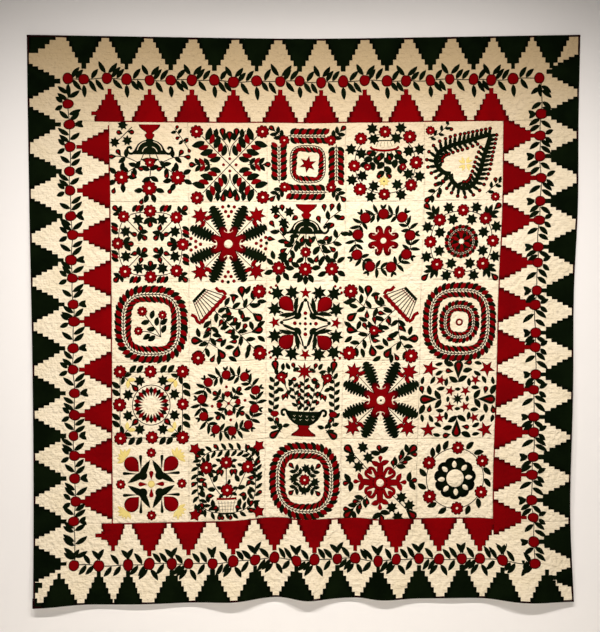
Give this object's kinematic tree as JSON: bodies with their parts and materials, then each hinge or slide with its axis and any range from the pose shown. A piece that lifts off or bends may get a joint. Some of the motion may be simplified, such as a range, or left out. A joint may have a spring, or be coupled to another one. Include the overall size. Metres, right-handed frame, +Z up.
{
  "type": "patchwork quilt",
  "caption": "Large hung patchwork quilt: cream cotton blocks inside wide borders, wadded, quilted and bound, its lower edge standing out in soft folds.",
  "frame": {"origin": "middle of the top edge, which holds the quilt up", "axes": "+Z up, +X to the right seen from the front, -Y out of the quilt's face"},
  "size_m": [2.4906, 0.0393, 2.5767],
  "materials": {
    "cream_cotton": "hand quilted plain weave",
    "backing_cotton": "hand quilted plain weave",
    "binding_cotton": "plain weave, folded strip",
    "red_cotton": "plain weave, sewn on",
    "green_cotton": "plain weave, sewn on",
    "gold_cotton": "plain weave, faded, sewn on"
  },
  "bodies": {
    "root": {"quilt_body": "backing_cotton", "block_r1c1": "cream_cotton", "block_r1c2": "cream_cotton", "block_r1c3": "cream_cotton", "block_r1c4": "cream_cotton", "block_r1c5": "cream_cotton", "block_r2c1": "cream_cotton", "block_r2c2": "cream_cotton", "block_r2c3": "cream_cotton", "block_r2c4": "cream_cotton", "block_r2c5": "cream_cotton", "block_r3c1": "cream_cotton", "block_r3c2": "cream_cotton", "block_r3c3": "cream_cotton", "block_r3c4": "cream_cotton", "block_r3c5": "cream_cotton", "block_r4c1": "cream_cotton", "block_r4c2": "cream_cotton", "block_r4c3": "cream_cotton", "block_r4c4": "cream_cotton", "block_r4c5": "cream_cotton", "block_r5c1": "cream_cotton", "block_r5c2": "cream_cotton", "block_r5c3": "cream_cotton", "block_r5c4": "cream_cotton", "block_r5c5": "cream_cotton", "border_top": "cream_cotton", "border_foot": "cream_cotton", "border_left": "cream_cotton", "border_right": "cream_cotton", "binding_top": "binding_cotton", "binding_foot": "binding_cotton", "binding_left": "binding_cotton", "binding_right": "binding_cotton"}
  },
  "joints": []
}
